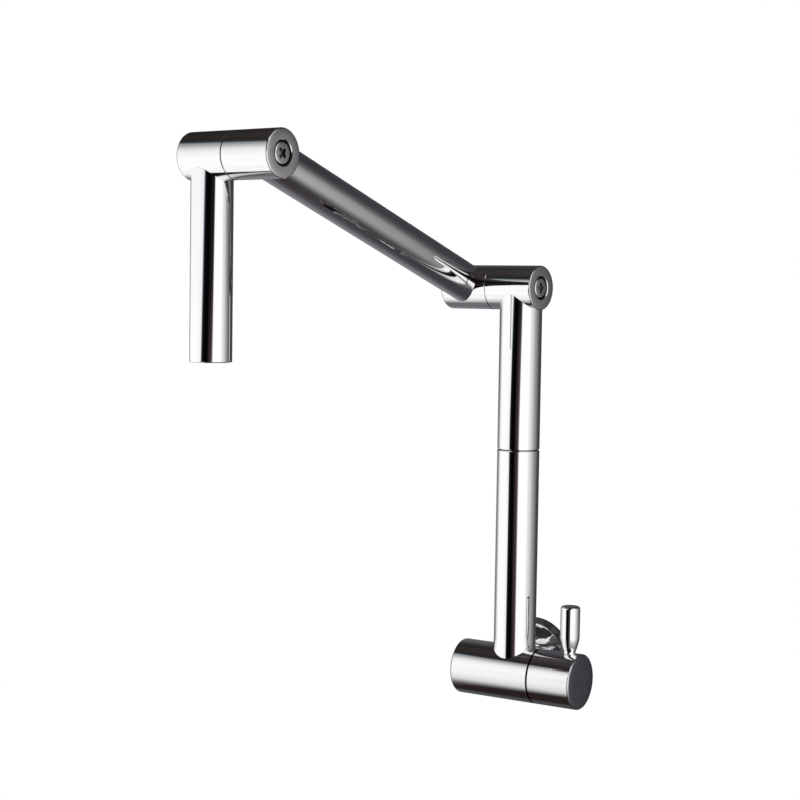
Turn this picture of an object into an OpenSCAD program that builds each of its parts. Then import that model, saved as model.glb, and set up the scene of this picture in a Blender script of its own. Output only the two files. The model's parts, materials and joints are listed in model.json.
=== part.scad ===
// Wall mounted pot filler: quarter-turn valve, swivelling column, and an arm and a spout
// that hang on two offset barrel hinges. Millimetres. The origin is the centre of the inlet
// where it meets the wall. +X runs along the valve, -Y points out of the wall, +Z is up.

/* [Inlet and wall flange] */
// Distance from the wall to the valve axis
valve_reach = 41.5; // [36:0.5:80]
// Diameter of the inlet thread, G1/2
inlet_thread_d = 20.955; // [20:0.005:22]
// Length of inlet thread that stands behind the wall
inlet_thread_len = 14; // [8:0.5:30]
// Diameter of the polished neck between thread and valve
inlet_neck_d = 21.4; // [21:0.1:24]
// Water bore of the inlet nipple
inlet_bore_d = 15; // [10:0.5:17]
// Outside diameter of the wall flange
flange_d = 51; // [40:0.2:70]
// How far the flange's flat face stands off the wall
flange_depth = 3.8; // [3.4:0.1:8]
// Height of the flange's straight rim
flange_rim = 2; // [1:0.1:3]
// Width of the sloping band round the flange's flat face
flange_band = 3.1; // [2:0.1:5]
// Thickness of the pressed flange
flange_wall = 1.2; // [0.8:0.1:2]

/* [Valve body] */
// Diameter of the valve body and of the lever hub
valve_d = 31.8; // [30:0.2:40]
// Length of the valve body
valve_len = 50.4; // [46:0.2:70]
// Offset of the column axis from the inlet axis
column_offset = 9; // [7:0.5:11]
// Radius of the valve's rounded outer ends
valve_edge = 1; // [0.3:0.1:1.4]
// Bore of the cartridge chamber
chamber_d = 19; // [18.6:0.1:20]
// Distance of the cartridge seat from the middle of the valve body, towards its blind end
seat_offset = 0.6; // [0:0.1:1]
// Bore of the inlet chamber behind the seat
inlet_chamber_d = 12; // [8:0.5:13]
// Length of the inlet chamber
inlet_chamber_len = 9.5; // [8:0.5:14]
// Diameter of the passage from the nipple to the inlet chamber
inlet_port_d = 6.4; // [4:0.1:6.6]
// Diameter of the passage from the valve up into the column
riser_port_d = 14; // [8:0.5:15]

/* [Cartridge] */
// Diameter of the cartridge thread
cartridge_thread_d = 20.855; // [20.2:0.005:21.5]
// Length of the cartridge thread
cartridge_thread_len = 10; // [7:0.5:11]
// Outside diameter of the cartridge's disc housing
cartridge_shell_d = 18.4; // [18:0.1:18.5]
// Bore of the disc housing
cartridge_bore_d = 16.2; // [15:0.1:16.6]
// Width across the flats of the cartridge's hexagon
hexagon_flats = 22; // [21.5:0.1:22.5]
// Length of the hexagon
hexagon_len = 5; // [3:0.5:5.5]
// Thickness of the gasket under the hexagon
gasket_t = 0.7; // [0.5:0.1:1]
// Diameter of the collar in front of the hexagon
collar_d = 15; // [13:0.5:16]
// Length of the collar
collar_len = 3; // [2:0.5:4]
// Diameter of the cartridge stem in its bore
stem_d = 10; // [9:0.2:11]
// Diameter of the splined end of the stem
spline_d = 8; // [7:0.1:8.5]
// Length of the splined end of the stem
spline_len = 6.5; // [5:0.5:7]
// Number of spline teeth
spline_teeth = 20; // [12:1:24]
// Thickness of each ceramic disc
disc_t = 3; // [2:0.1:3.2]
// Height of the rubber seat seal
seat_seal_t = 2.4; // [2:0.1:3]
// Bore of the rubber seat seal
seat_seal_bore_d = 11; // [8:0.5:12]
// Opening angle of each port in the ceramic discs
port_angle = 78; // [50:1:84]

/* [Lever and hub] */
// Gap between the valve body and the hub
hub_gap = 0.7; // [0.4:0.1:1.2]
// Length of the hub
hub_len = 26.6; // [26:0.1:36]
// Wall of the hub round the cartridge head
hub_wall = 2.4; // [1.8:0.1:2.6]
// Distance from the lever axis to the hub's end face
lever_inset = 7.6; // [6:0.1:8]
// Height of the lever's top above the valve axis
lever_height = 42.9; // [36:0.1:90]
// Diameter of the lever
lever_d = 11.2; // [8:0.1:14]
// Diameter of the lever's neck
lever_neck_d = 6.8; // [6:0.1:8]
// Length of the lever's tapered part
lever_taper_len = 9.4; // [5:0.2:14]
// Radius of the lever's rounded top edge
lever_round = 1.5; // [0.5:0.1:2]
// Diameter of the lever's stud
lever_stud_d = 5; // [4:0.1:5.2]
// Diameter of the hub's set screw
set_screw_d = 4; // [3:0.1:4.5]
// Length of the hub's set screw
set_screw_len = 6; // [4:0.5:8]

/* [Column] */
// Outside diameter of the column
column_d = 24.4; // [23:0.2:25.4]
// Bore of the column
column_bore_d = 19; // [18.4:0.1:19.4]
// Height of the swivel seam above the valve axis
swivel_height = 130.5; // [60:0.1:260]
// Height of the elbow axis above the valve axis
elbow_height = 223.6; // [180:0.1:400]
// Width of the seam between the two halves of the column
swivel_gap = 0.6; // [0.3:0.1:0.8]
// Direction of the arm at rest, seen from above, from square to the wall
swivel_rest_angle = -4.5; // [-45:0.1:45]
// Length of the spigot's threaded foot
spigot_foot_len = 20; // [12:0.5:30]
// Diameter of the spigot's threaded foot
spigot_foot_d = 20.6; // [20:0.1:21]
// Length of the spigot above the seam
spigot_len = 24; // [23:0.5:34]
// Water bore of the spigot
spigot_bore_d = 12; // [8:0.5:13]

/* [Barrel hinges] */
// Diameter of the hinge barrels
barrel_d = 25.5; // [25.4:0.1:30]
// Distance from a tube's axis to the outer face of its barrel
barrel_face = 13.6; // [13:0.1:16]
// Distance from a tube's axis to the seam of its barrel
barrel_seam = 17.3; // [16.4:0.1:20]
// Width of the seam between two barrels
barrel_gap = 0.3; // [0.2:0.05:0.5]
// Radius of the rounded edges of the barrels' outer faces
barrel_edge = 0.8; // [0.3:0.1:1]
// Diameter of the screw recess in the barrel's face
recess_d = 13.2; // [12.8:0.1:15]
// Depth of the screw recess
recess_depth = 3.4; // [3.2:0.1:4]
// Thickness of the web under the screw
web_t = 2; // [1.5:0.1:2.5]
// Diameter of the hinge spindle
spindle_d = 16; // [15:0.1:16.6]
// Diameter of the spindle's threaded end
spindle_thread_d = 18; // [17.4:0.1:19]
// Length of the spindle's threaded end
spindle_thread_len = 9; // [6:0.5:10]
// Water bore of the spindle
spindle_bore_d = 10; // [7:0.5:10.5]
// Diameter of the spindle's waist at its water holes
spindle_waist_d = 13; // [12:0.1:13.6]
// Diameter of the spindle's water holes
spindle_hole_d = 6; // [3:0.5:6.5]
// Diameter of the passage from a barrel into its tube
tube_port_d = 13; // [8:0.5:14]
// Diameter of the hinge screw's head
screw_head_d = 11.4; // [9:0.1:12]
// Height of the hinge screw's head
screw_head_h = 2.4; // [1.8:0.1:2.4]
// Diameter of the hinge screw's shank
screw_d = 5; // [4:0.1:5.4]
// Diameter of the washer under the hinge screw
screw_washer_d = 12; // [11:0.1:12.4]
// Thickness of the washer under the hinge screw
screw_washer_t = 0.7; // [0.5:0.1:0.8]

/* [Arm and spout] */
// Distance between the elbow axis and the tip axis
arm_len = 195.9; // [120:0.1:320]
// Slope of the arm at rest, above the level
arm_rest_angle = 19.4; // [-30:0.1:60]
// Outside diameter of the arm and the spout
tube_d = 22.2; // [22:0.1:24]
// Wall of the arm and the spout
tube_wall = 1.2; // [0.8:0.1:1.4]
// Distance from the tip axis down to the spout's end
spout_len = 106; // [60:0.1:200]
// Radius of the spout's rounded lip
spout_lip = 0.8; // [0.2:0.1:0.8]
// Height of the aerator housing
aerator_h = 9; // [8:0.5:14]
// Free bore of the aerator under its insert
aerator_bore_d = 14.8; // [12:0.1:15.4]
// Height of the free bore under the insert
aerator_lip_h = 3; // [1:0.1:3.5]
// Thickness of the flow insert
aerator_insert_h = 5; // [3:0.1:5]
// Diameter of each flow hole in the insert
aerator_hole_d = 1.7; // [1:0.1:2]

/* [Hidden] */
$fn = 96;

// Clearances and the overrun of cuts
seat_gap = 0.05;
running_gap = 0.05;
end_gap = 0.05;
free_gap = 0.4;
overrun = 1;

// Inlet
valve_r = valve_d / 2;
inlet_thread_r = inlet_thread_d / 2;
inlet_neck_r = inlet_neck_d / 2;
inlet_thread_run = 1.5;
inlet_chamfer = 1;
flange_r = flange_d / 2;
flange_gap = 0.15;
flange_fold_inner = 0.4;
flange_hole_r = inlet_neck_r + flange_gap;
flange_fold = flange_wall + flange_fold_inner;

// Valve body, with the seam side at body_end
body_end = valve_len / 2;
seam_edge = 0.25;
seat_x = -seat_offset;
inlet_port_x = seat_x - inlet_port_d / 2 - free_gap;
thread_hole_r = cartridge_thread_d / 2 + seat_gap;
chamber_r = chamber_d / 2;

// Cartridge, from the seat outwards
fixed_disc_x = seat_x + seat_seal_t;
moving_disc_x = fixed_disc_x + disc_t + end_gap;
stem_foot_x = moving_disc_x + disc_t + end_gap;
stem_foot_t = 2.5;
tongue_t = 1.2;
tongue_w = 4;
stem_foot_w = 7;
window_len = 4;
window_w = 10;
housing_end_x = stem_foot_x + window_len;
cartridge_end_x = seat_x + seat_seal_t / 4;
hexagon_x = body_end + gasket_t;
collar_x = hexagon_x + hexagon_len;
collar_end_x = collar_x + collar_len;
stem_r = stem_d / 2;
spline_r = spline_d / 2;
tooth_h = 0.4;
disc_r = cartridge_bore_d / 2 - running_gap;
moving_disc_r = disc_r - end_gap * 2;
port_inner_r = 2.2;
port_outer_r = 6.6;
clip_t = 1;
clip_rim = 1.6;
clip_gap = 0.1;
clip_groove = 0.9;
clip_x = collar_end_x + clip_gap;
spline_x = clip_x + clip_t + clip_rim / 2;
stem_end_x = spline_x + spline_len;
stem_ring_pitch = 5;
stem_ring_x = (housing_end_x + hexagon_x) / 2;

// O-rings: section height, groove width and groove play
ring_h = 1.5;
ring_groove_w = 2.4;
ring_play = 0.04;

// Hub and lever
hub_x = body_end + hub_gap;
hub_end_x = hub_x + hub_len;
hub_cavity_end_x = spline_x;
lever_seat_depth = 1;
lever_neck_rise = 0.8;
lever_x = hub_end_x - lever_inset;
lever_seat_r = lever_neck_d / 2 + seat_gap;
lever_seat_z = sqrt(pow(valve_r, 2) - pow(lever_seat_r, 2)) - lever_seat_depth;
lever_stud_len = 9;
lever_neck_z = valve_r + lever_neck_rise;
lever_steps = 10;
set_screw_x = (hub_cavity_end_x + stem_end_x) / 2;
set_screw_socket = 2;
set_screw_socket_depth = 2.2;

// Column
column_r = column_d / 2;
column_bore_r = column_bore_d / 2;
lower_top_z = swivel_height - swivel_gap / 2;
upper_base_z = swivel_height + swivel_gap / 2;
spigot_r = column_bore_r - running_gap;
spigot_foot_r = spigot_foot_d / 2;
spigot_ring_z = 5;
spigot_ring_pitch = 6;
snap_z = swivel_height + spigot_len - 3.5 * clip_t;
snap_r = column_bore_r + clip_groove;
swivel_washer_inset = 1.4;
swivel_washer_r = column_r - swivel_washer_inset;
column_edge = 0.3;

// Barrel hinges: x runs along the hinge and is zero at the axis of the screw side's tube
barrel_r = barrel_d / 2;
tube_r = tube_d / 2;
tube_bore_r = tube_r - tube_wall;
recess_r = recess_d / 2;
recess_edge = 0.4;
web_x = barrel_face - recess_depth;
web_inner_x = web_x - web_t;
spindle_r = spindle_d / 2;
spindle_hole_r = spindle_r + running_gap;
screw_side_x = -barrel_seam + barrel_gap / 2;
blind_side_x = -barrel_seam - barrel_gap / 2;
blind_tube_x = -2 * barrel_seam;
thrust_seat_t = 0.75;
thrust_r = 11;
spindle_end_x = web_inner_x - 0.75 * free_gap;
spindle_root_x = blind_side_x - thrust_seat_t - spindle_thread_len;
spindle_water_end_x = 1;
screw_hole_end_x = 2.8;
waist_start_x = -7;
waist_end_x = 2.6;
water_hole_x = (waist_start_x + spindle_water_end_x) / 2;
water_holes = 4;
ring_right_x = (waist_end_x + spindle_end_x) / 2;
ring_left_x = (screw_side_x + waist_start_x) / 2;
blind_bore_r = 8;
blind_bottom_t = 3;
screw_washer_x = web_x + end_gap;
screw_seat_x = screw_washer_x + screw_washer_t + end_gap;
screw_shank_x = screw_hole_end_x + free_gap;
screw_hole_r = screw_d / 2 + free_gap;
screw_round = 0.8;
cross_w = 1.5;
cross_len = 6.2;
cross_depth = 1.7;
cross_pit_r = 1.5;
edge_steps = 4;

// Aerator
aerator_r = tube_bore_r - seat_gap;
aerator_recess = 0.4;
aerator_z = -spout_len + aerator_recess;
aerator_wall = 1.4;
aerator_insert_r = aerator_r - aerator_wall - seat_gap;
aerator_insert_z = aerator_z + aerator_lip_h;
aerator_washer_t = 1.6;
aerator_hole_pitch = 2.9;
aerator_rings = 2;

chrome = [0.80, 0.81, 0.83];
brass = [0.78, 0.64, 0.34];
ceramic_white = [0.93, 0.92, 0.90];
black_rubber = [0.10, 0.10, 0.11];
black_plastic = [0.09, 0.09, 0.10];
steel = [0.66, 0.67, 0.69];

// Places of the sub-assemblies

module at_valve() {
    translate([0, -valve_reach, 0])
        children();
}

module at_column() {
    translate([column_offset, -valve_reach, 0])
        children();
}

module at_elbow() {
    at_column()
        translate([0, 0, elbow_height])
            rotate([0, 0, swivel_rest_angle])
                children();
}

// The arm's own frame: -Y runs along the arm, X is the blind side's tube axis
module at_arm() {
    at_elbow()
        rotate([-arm_rest_angle, 0, 0])
            children();
}

// The tip's own frame: X is zero at the arm's tube axis and the spout hangs down
module at_tip() {
    at_arm()
        translate([blind_tube_x, -arm_len, 0])
            rotate([arm_rest_angle, 0, 0])
                children();
}

// Helper shapes

// A turned shape along X from points of radius and place
module turned_x(points) {
    rotate([0, 90, 0])
        rotate_extrude()
            polygon(points);
}

module rod_x(start, end, radius) {
    translate([start, 0, 0])
        rotate([0, 90, 0])
            cylinder(r = radius, h = end - start);
}

module ring_x(start, end, outer_r, inner_r) {
    difference() {
        rod_x(start, end, outer_r);
        rod_x(start - overrun, end + overrun, inner_r);
    }
}

module ring_z(start, end, outer_r, inner_r) {
    translate([0, 0, start])
        difference() {
            cylinder(r = outer_r, h = end - start);
            translate([0, 0, -overrun])
                cylinder(r = inner_r, h = end - start + 2 * overrun);
        }
}

// The bulk of a barrel, for cutting saddles in the tubes that meet it
module barrel_bulk(centre_x, radius) {
    rod_x(centre_x - 2 * barrel_d, centre_x + 2 * barrel_d, radius + seat_gap);
}

// An O-ring about Z that lies in a groove of the given shaft
module o_ring(shaft_r) {
    rotate_extrude()
        translate([shaft_r - ring_h / 2, 0])
            circle(r = ring_h / 2 - ring_play, $fn = 24);
}

module o_ring_x(place, shaft_r) {
    translate([place, 0, 0])
        rotate([0, 90, 0])
            o_ring(shaft_r);
}

module o_ring_groove_x(place, shaft_r) {
    ring_x(place - ring_groove_w / 2, place + ring_groove_w / 2,
        shaft_r + overrun, shaft_r - ring_h);
}

// Points of a quarter of an ellipse, from the end of its first half-axis to its second
function quarter(centre, half_axes, first, last, steps) = [
    for (i = [0 : steps])
        let (angle = first + (last - first) * i / steps)
            [centre[0] + half_axes[0] * cos(angle), centre[1] + half_axes[1] * sin(angle)]
];

// Points of a turned end's rounded edge; side is 1 for an end that faces +X and -1 for -X
function round_end(radius, end_x, edge, side) = quarter(
    [radius - edge, end_x - side * edge], [edge, edge],
    side > 0 ? 0 : -90, side > 0 ? 90 : 0, edge_steps);

// A toothed outline for the spline
function spline_outline(outer_r) = [
    for (i = [0 : 2 * spline_teeth - 1])
        let (radius = i % 2 == 0 ? outer_r : outer_r - tooth_h, angle = 180 * i / spline_teeth)
            [radius * cos(angle), radius * sin(angle)]
];

// Wall flange and inlet

// Profile of the flange as radius and height off the wall: rim, sloping band, flat face
function flange_outline(inset) = let (
        face_r = flange_r - flange_band,
        slope = atan2(flange_depth - flange_rim, flange_band))
    concat(
        [[flange_r - inset, flange_rim - inset * tan(45 - slope / 2)]],
        quarter([face_r - flange_fold * tan(slope / 2), flange_depth - flange_fold],
            [flange_fold - inset, flange_fold - inset], 90 - slope, 90, edge_steps));

module wall_flange() {
    inner = flange_outline(flange_wall);
    color(chrome)
        rotate([90, 0, 0])
            rotate_extrude()
                polygon(concat(
                    [[flange_r, 0]],
                    flange_outline(0),
                    [[flange_hole_r, flange_depth], [flange_hole_r, flange_depth - flange_wall]],
                    [for (i = [len(inner) - 1 : -1 : 0]) inner[i]],
                    [[flange_r - flange_wall, 0]]));
}

module inlet_nipple() {
    color(chrome)
        difference() {
            rotate([-90, 0, 0])
                translate([0, 0, -valve_reach])
                    rotate_extrude()
                        polygon([
                            [inlet_bore_d / 2, 0],
                            [inlet_neck_r, 0],
                            [inlet_neck_r, valve_reach - inlet_thread_run],
                            [inlet_thread_r, valve_reach - inlet_thread_run],
                            [inlet_thread_r, valve_reach + inlet_thread_len - inlet_chamfer],
                            [inlet_thread_r - inlet_chamfer, valve_reach + inlet_thread_len],
                            [inlet_bore_d / 2, valve_reach + inlet_thread_len]]);
            at_valve()
                rod_x(-valve_len, valve_len, valve_r + seat_gap);
        }
}

// Valve body and cartridge

module valve_body() {
    color(chrome)
        at_valve()
            difference() {
                turned_x(concat(
                    [[0, -body_end]],
                    round_end(valve_r, -body_end, valve_edge, -1),
                    [[valve_r, body_end - seam_edge]],
                    [[valve_r - seam_edge, body_end], [0, body_end]]));
                rod_x(seat_x - inlet_chamber_len, seat_x + overrun, inlet_chamber_d / 2);
                rod_x(seat_x, body_end + overrun, chamber_r);
                rod_x(body_end - cartridge_thread_len, body_end + overrun, thread_hole_r);
                translate([inlet_port_x, 0, 0])
                    rotate([-90, 0, 0])
                        cylinder(d = inlet_port_d, h = valve_r + overrun);
                translate([column_offset, 0, 0])
                    cylinder(d = riser_port_d, h = valve_r + overrun);
            }
}

module seat_seal() {
    color(black_rubber)
        at_valve()
            ring_x(seat_x, fixed_disc_x, disc_r, seat_seal_bore_d / 2);
}

// A ceramic disc with two ports, opposite each other
module ceramic_disc(start, radius, port_turn) {
    difference() {
        rod_x(start, start + disc_t, radius);
        translate([start - overrun, 0, 0])
            rotate([0, 90, 0])
                for (side = [0, 180])
                    rotate([0, 0, port_turn + side - port_angle / 2])
                        rotate_extrude(angle = port_angle)
                            translate([port_inner_r, 0])
                                square([port_outer_r - port_inner_r, disc_t + 2 * overrun]);
    }
}

module fixed_disc() {
    color(ceramic_white)
        at_valve()
            ceramic_disc(fixed_disc_x, disc_r, 0);
}

module moving_disc() {
    color(ceramic_white)
        at_valve()
            difference() {
                ceramic_disc(moving_disc_x, moving_disc_r, 90);
                translate([moving_disc_x + disc_t - tongue_t, -tongue_w / 2, -moving_disc_r])
                    cube([tongue_t + overrun, tongue_w, 2 * moving_disc_r]);
            }
}

module cartridge_body() {
    color(brass)
        at_valve()
            difference() {
                union() {
                    rod_x(cartridge_end_x, body_end - cartridge_thread_len, cartridge_shell_d / 2);
                    rod_x(body_end - cartridge_thread_len, hexagon_x, cartridge_thread_d / 2);
                    translate([hexagon_x, 0, 0])
                        rotate([0, 90, 0])
                            cylinder(d = hexagon_flats / cos(30), h = hexagon_len, $fn = 6);
                    rod_x(collar_x, collar_end_x, collar_d / 2);
                }
                rod_x(cartridge_end_x - overrun, housing_end_x, cartridge_bore_d / 2);
                rod_x(housing_end_x - overrun, collar_end_x + overrun, stem_r + running_gap);
                translate([stem_foot_x, -window_w / 2, -chamber_r])
                    cube([window_len, window_w, 2 * chamber_r]);
            }
}

module cartridge_gasket() {
    color(black_rubber)
        at_valve()
            ring_x(body_end, hexagon_x, hexagon_flats / 2, cartridge_thread_d / 2 + seat_gap);
}

module cartridge_stem() {
    color(brass)
        at_valve()
            difference() {
                union() {
                    intersection() {
                        rod_x(stem_foot_x, stem_foot_x + stem_foot_t, moving_disc_r);
                        translate([stem_foot_x, -stem_foot_w / 2, -moving_disc_r])
                            cube([stem_foot_t, stem_foot_w, 2 * moving_disc_r]);
                    }
                    intersection() {
                        rod_x(stem_foot_x - tongue_t, stem_foot_x + end_gap, moving_disc_r);
                        translate([stem_foot_x - tongue_t + end_gap, seat_gap - tongue_w / 2,
                            -moving_disc_r])
                            cube([tongue_t, tongue_w - 2 * seat_gap, 2 * moving_disc_r]);
                    }
                    rod_x(stem_foot_x, spline_x, stem_r);
                    translate([spline_x, 0, 0])
                        rotate([0, 90, 0])
                            linear_extrude(spline_len)
                                polygon(spline_outline(spline_r));
                }
                for (side = [-0.5, 0.5])
                    o_ring_groove_x(stem_ring_x + side * stem_ring_pitch, stem_r);
                ring_x(clip_x, clip_x + clip_t, stem_r + overrun, stem_r - clip_groove);
            }
}

module stem_o_rings() {
    color(black_rubber)
        at_valve()
            for (side = [-0.5, 0.5])
                o_ring_x(stem_ring_x + side * stem_ring_pitch, stem_r);
}

// A split ring about Z, with its opening towards +X
module split_ring(start, outer_r, inner_r, thickness) {
    difference() {
        ring_z(start, start + thickness, outer_r, inner_r);
        translate([0, -inner_r / 2, start - overrun])
            cube([outer_r + overrun, inner_r, thickness + 2 * overrun]);
    }
}

module stem_clip() {
    color(steel)
        at_valve()
            rotate([0, 90, 0])
                split_ring(clip_x + clip_gap / 2, stem_r + clip_rim, stem_r - clip_groove + seat_gap,
                    clip_t - clip_gap);
}

// Hub and lever

module handle_hub() {
    color(chrome)
        at_valve()
            difference() {
                turned_x(concat(
                    [[0, hub_x], [valve_r - seam_edge, hub_x], [valve_r, hub_x + seam_edge]],
                    round_end(valve_r, hub_end_x, valve_edge, 1),
                    [[0, hub_end_x]]));
                rod_x(hub_x - overrun, hub_cavity_end_x, valve_r - hub_wall);
                translate([hub_cavity_end_x - overrun, 0, 0])
                    rotate([0, 90, 0])
                        linear_extrude(overrun + spline_len + 2 * free_gap)
                            polygon(spline_outline(spline_r + 2 * seat_gap));
                translate([lever_x, 0, lever_seat_z])
                    cylinder(r = lever_seat_r, h = valve_r);
                translate([lever_x, 0, lever_seat_z - lever_stud_len - free_gap])
                    cylinder(r = lever_stud_d / 2 + seat_gap, h = lever_stud_len + valve_r);
                translate([set_screw_x, 0, -valve_r - overrun])
                    cylinder(r = set_screw_d / 2 + seat_gap, h = valve_r + overrun);
            }
}

module lever_pin() {
    neck_r = lever_neck_d / 2;
    grip_r = lever_d / 2;
    foot_z = lever_seat_z + end_gap;
    color(chrome)
        at_valve()
            translate([lever_x, 0, 0])
                rotate_extrude()
                    polygon(concat(
                        [[0, lever_seat_z - lever_stud_len]],
                        [[lever_stud_d / 2, lever_seat_z - lever_stud_len]],
                        [[lever_stud_d / 2, foot_z], [neck_r, foot_z]],
                        [for (i = [0 : lever_steps])
                            [neck_r + (grip_r - neck_r) * sin(90 * i / lever_steps),
                                lever_neck_z + lever_taper_len * i / lever_steps]],
                        quarter([grip_r - lever_round, lever_height - lever_round],
                            [lever_round, lever_round], 0, 90, lever_steps),
                        [[0, lever_height]]));
}

module hub_set_screw() {
    color(steel)
        at_valve()
            translate([set_screw_x, 0, -spline_r - 2 * seat_gap])
                difference() {
                    translate([0, 0, -set_screw_len])
                        cylinder(d = set_screw_d, h = set_screw_len);
                    translate([0, 0, -set_screw_len - overrun])
                        cylinder(d = set_screw_socket / cos(30),
                            h = set_screw_socket_depth + overrun, $fn = 6);
                }
}

// Column

module riser_lower() {
    color(chrome)
        difference() {
            at_column()
                difference() {
                    rotate_extrude()
                        polygon([
                            [0, 0],
                            [column_r, 0],
                            [column_r, lower_top_z - column_edge],
                            [column_r - column_edge, lower_top_z],
                            [0, lower_top_z]]);
                    cylinder(r = column_bore_r, h = swivel_height);
                    translate([0, 0, lower_top_z - spigot_foot_len])
                        cylinder(r = spigot_foot_r + seat_gap, h = spigot_foot_len + overrun);
                }
            at_valve()
                rod_x(-valve_len, valve_len, valve_r + seat_gap);
        }
}

module swivel_spigot() {
    color(brass)
        at_column()
            difference() {
                union() {
                    translate([0, 0, lower_top_z - spigot_foot_len])
                        cylinder(r = spigot_foot_r, h = spigot_foot_len);
                    translate([0, 0, lower_top_z - spigot_foot_len])
                        cylinder(r = spigot_r, h = spigot_foot_len + spigot_len);
                }
                translate([0, 0, lower_top_z - spigot_foot_len - overrun])
                    cylinder(d = spigot_bore_d, h = spigot_foot_len + spigot_len + 2 * overrun);
                for (i = [0, 1])
                    translate([0, 0, swivel_height + spigot_ring_z + i * spigot_ring_pitch])
                        ring_z(-ring_groove_w / 2, ring_groove_w / 2,
                            spigot_r + overrun, spigot_r - ring_h);
                ring_z(snap_z, snap_z + clip_t, spigot_r + overrun, spigot_r - clip_groove);
            }
}

module swivel_o_rings() {
    color(black_rubber)
        at_column()
            for (i = [0, 1])
                translate([0, 0, swivel_height + spigot_ring_z + i * spigot_ring_pitch])
                    o_ring(spigot_r);
}

module swivel_washer() {
    color(black_plastic)
        at_column()
            ring_z(lower_top_z, upper_base_z - end_gap, swivel_washer_r, column_bore_r + end_gap);
}

module swivel_snap_ring() {
    color(steel)
        at_column()
            split_ring(snap_z + clip_gap / 2, snap_r - free_gap / 2,
                spigot_r - clip_groove + seat_gap, clip_t - clip_gap);
}

module riser_upper() {
    color(chrome)
        difference() {
            at_column()
                difference() {
                    rotate_extrude()
                        polygon([
                            [0, upper_base_z],
                            [column_r - column_edge, upper_base_z],
                            [column_r, upper_base_z + column_edge],
                            [column_r, elbow_height],
                            [0, elbow_height]]);
                    cylinder(r = column_bore_r, h = elbow_height + overrun);
                    translate([0, 0, snap_z - free_gap])
                        cylinder(r = snap_r + running_gap, h = clip_t + 2 * free_gap);
                }
            at_elbow()
                barrel_bulk(0, barrel_r);
        }
}

// Barrel hinges, drawn with the screw side's tube axis at x = 0

// The half that the screw goes in, with a passage towards its tube, which turns from down
module screw_half(port_turn) {
    difference() {
        turned_x(concat(
            [[spindle_hole_r, screw_side_x]],
            [[barrel_r - seam_edge, screw_side_x], [barrel_r, screw_side_x + seam_edge]],
            round_end(barrel_r, barrel_face, barrel_edge, 1),
            [[recess_r + recess_edge, barrel_face], [recess_r, barrel_face - recess_edge]],
            [[recess_r, web_x], [screw_hole_r, web_x]],
            [[screw_hole_r, web_inner_x], [spindle_hole_r, web_inner_x]]));
        rotate([180 + port_turn, 0, 0])
            cylinder(d = tube_port_d, h = barrel_r + overrun);
    }
}

// The blind half, which holds the spindle's thread
module blind_half(port_turn) {
    thread_r = spindle_thread_d / 2 + seat_gap;
    outer_x = blind_tube_x - barrel_face;
    difference() {
        turned_x(concat(
            [[0, outer_x]],
            round_end(barrel_r, outer_x, barrel_edge, -1),
            [[barrel_r, blind_side_x - seam_edge], [barrel_r - seam_edge, blind_side_x]],
            [[thrust_r + seat_gap, blind_side_x]],
            [[thrust_r + seat_gap, blind_side_x - thrust_seat_t]],
            [[thread_r, blind_side_x - thrust_seat_t], [thread_r, spindle_root_x]],
            [[blind_bore_r, spindle_root_x], [blind_bore_r, outer_x + blind_bottom_t]],
            [[0, outer_x + blind_bottom_t]]));
        translate([blind_tube_x, 0, 0])
            rotate([180 + port_turn, 0, 0])
                cylinder(d = tube_port_d, h = barrel_r + overrun);
    }
}

// The hollow spindle: thread, journal with two seals, waist with water holes, screw hole
module hinge_spindle() {
    difference() {
        turned_x([
            [spindle_bore_d / 2, spindle_root_x],
            [spindle_thread_d / 2, spindle_root_x],
            [spindle_thread_d / 2, blind_side_x - thrust_seat_t],
            [spindle_r, blind_side_x - thrust_seat_t],
            [spindle_r, waist_start_x],
            [spindle_waist_d / 2, waist_start_x],
            [spindle_waist_d / 2, waist_end_x],
            [spindle_r, waist_end_x],
            [spindle_r, spindle_end_x],
            [screw_d / 2 + seat_gap, spindle_end_x],
            [screw_d / 2 + seat_gap, screw_hole_end_x],
            [0, screw_hole_end_x],
            [0, spindle_water_end_x],
            [spindle_bore_d / 2, spindle_water_end_x]]);
        for (i = [0 : water_holes - 1])
            translate([water_hole_x, 0, 0])
                rotate([360 * i / water_holes, 0, 0])
                    cylinder(d = spindle_hole_d, h = spindle_r);
        o_ring_groove_x(ring_right_x, spindle_r);
        o_ring_groove_x(ring_left_x, spindle_r);
    }
}

module hinge_o_rings() {
    o_ring_x(ring_right_x, spindle_r);
    o_ring_x(ring_left_x, spindle_r);
}

module hinge_thrust_washer() {
    ring_x(blind_side_x - thrust_seat_t, screw_side_x - end_gap, thrust_r, spindle_r + running_gap);
}

// The hinge screw: round-edged head with a cross recess
module hinge_screw() {
    head_r = screw_head_d / 2;
    head_end_x = screw_seat_x + screw_head_h;
    difference() {
        turned_x(concat(
            [[0, screw_shank_x], [screw_d / 2, screw_shank_x], [screw_d / 2, screw_seat_x]],
            [[head_r, screw_seat_x]],
            quarter([head_r - screw_round, head_end_x - screw_round],
                [screw_round, screw_round], 0, 90, edge_steps),
            [[0, head_end_x]]));
        for (turn = [0, 90])
            translate([head_end_x, 0, 0])
                rotate([45 + turn, 0, 0])
                    translate([-cross_depth, -cross_w / 2, -cross_len / 2])
                        cube([cross_depth + overrun, cross_w, cross_len]);
        translate([head_end_x - cross_depth, 0, 0])
            rotate([0, 90, 0])
                cylinder(r1 = cross_w / 2, r2 = cross_pit_r, h = cross_depth + overrun);
    }
}

module hinge_screw_washer() {
    ring_x(screw_washer_x, screw_washer_x + screw_washer_t, screw_washer_d / 2, screw_d / 2 + seat_gap);
}

// Elbow

module elbow_column_barrel() {
    color(chrome)
        at_elbow()
            screw_half(0);
}

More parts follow.
